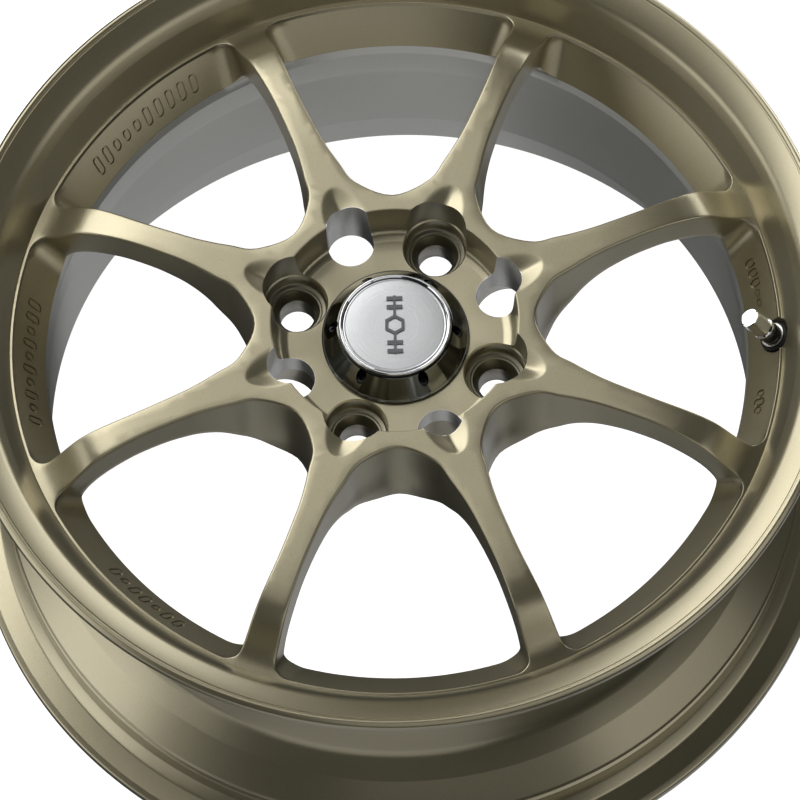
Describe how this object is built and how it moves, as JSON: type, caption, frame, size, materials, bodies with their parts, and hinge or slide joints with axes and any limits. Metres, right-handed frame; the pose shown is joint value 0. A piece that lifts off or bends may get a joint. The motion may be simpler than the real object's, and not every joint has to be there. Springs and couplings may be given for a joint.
{
  "type": "racing wheel rim",
  "caption": "Forged one-piece racing wheel with straight spokes, deep drop-well rim, bolt circle with conical seats, snap-in centre cap and clamp-in tyre valve.",
  "frame": {"origin": "on the wheel's axis, at the plane of the inboard flange that the wheel lies on", "axes": "+Z along the wheel's axis, out of the outboard face; +X towards the tyre valve"},
  "size_m": [0.415, 0.415, 0.178],
  "materials": {
    "bronze_coat": "satin bronze metallic coat on forged aluminium",
    "gunmetal_cap": "dark chrome plate on ABS",
    "bright_chrome": "polished",
    "brushed_silver": "satin, fine brushing",
    "emblem_dark": "satin",
    "black_screw": "black oxide",
    "spring_steel": "satin",
    "rubber": "matte",
    "nickel": "satin nickel plate",
    "gunmetal_valve": "satin gunmetal",
    "brass": "satin"
  },
  "bodies": {
    "wheel": {"rim_barrel": "bronze_coat", "hub": "bronze_coat", "spoke_1": "bronze_coat", "spoke_2": "bronze_coat", "spoke_3": "bronze_coat", "spoke_4": "bronze_coat", "spoke_5": "bronze_coat", "spoke_6": "bronze_coat", "spoke_7": "bronze_coat", "spoke_8": "bronze_coat", "valve_stem": "nickel", "valve_inner_seal": "rubber", "valve_grommet": "rubber", "valve_washer": "nickel", "valve_nut": "gunmetal_valve", "valve_core_body": "brass", "valve_core_spring": "spring_steel"},
    "centre_cap": {"cap_body": "gunmetal_cap", "cap_bezel": "bright_chrome", "cap_disc": "brushed_silver", "cap_emblem": "emblem_dark", "cap_retaining_ring": "spring_steel", "cap_seal": "rubber", "cap_screw_1": "black_screw", "cap_screw_2": "black_screw", "cap_screw_3": "black_screw", "cap_screw_4": "black_screw", "cap_screw_5": "black_screw", "cap_screw_6": "black_screw"},
    "valve_cap_seat": {"valve_cap_gasket": "rubber"},
    "valve_cap": {"valve_cap": "bright_chrome"},
    "valve_pin": {"valve_core_pin": "brass", "valve_core_seal": "rubber"}
  },
  "joints": [
    {"name": "centre_cap_pull", "type": "slide", "parent": "wheel", "child": "centre_cap", "axis": [0, 0, 1], "range_m": [0, 0.03]},
    {"name": "valve_cap_lift", "type": "slide", "parent": "wheel", "child": "valve_cap_seat", "axis": [-0.5, 0, 0.866], "range_m": [0, 0.00556]},
    {"name": "valve_cap_turn", "type": "hinge", "parent": "valve_cap_seat", "child": "valve_cap", "pos_m": [0.1765, 0, 0.1476], "axis": [-0.5, 0, 0.866], "range_deg": [0, 2520]},
    {"name": "valve_pin_press", "type": "slide", "parent": "wheel", "child": "valve_pin", "axis": [0.5, 0, -0.866], "range_m": [0, 0.0015], "stiffness_N_per_m": 1500, "deforming": ["valve_core_spring"]}
  ],
  "couplings": [
    {"joint": "valve_cap_turn", "follows": "valve_cap_lift", "rad_per_m": 7913.2}
  ]
}
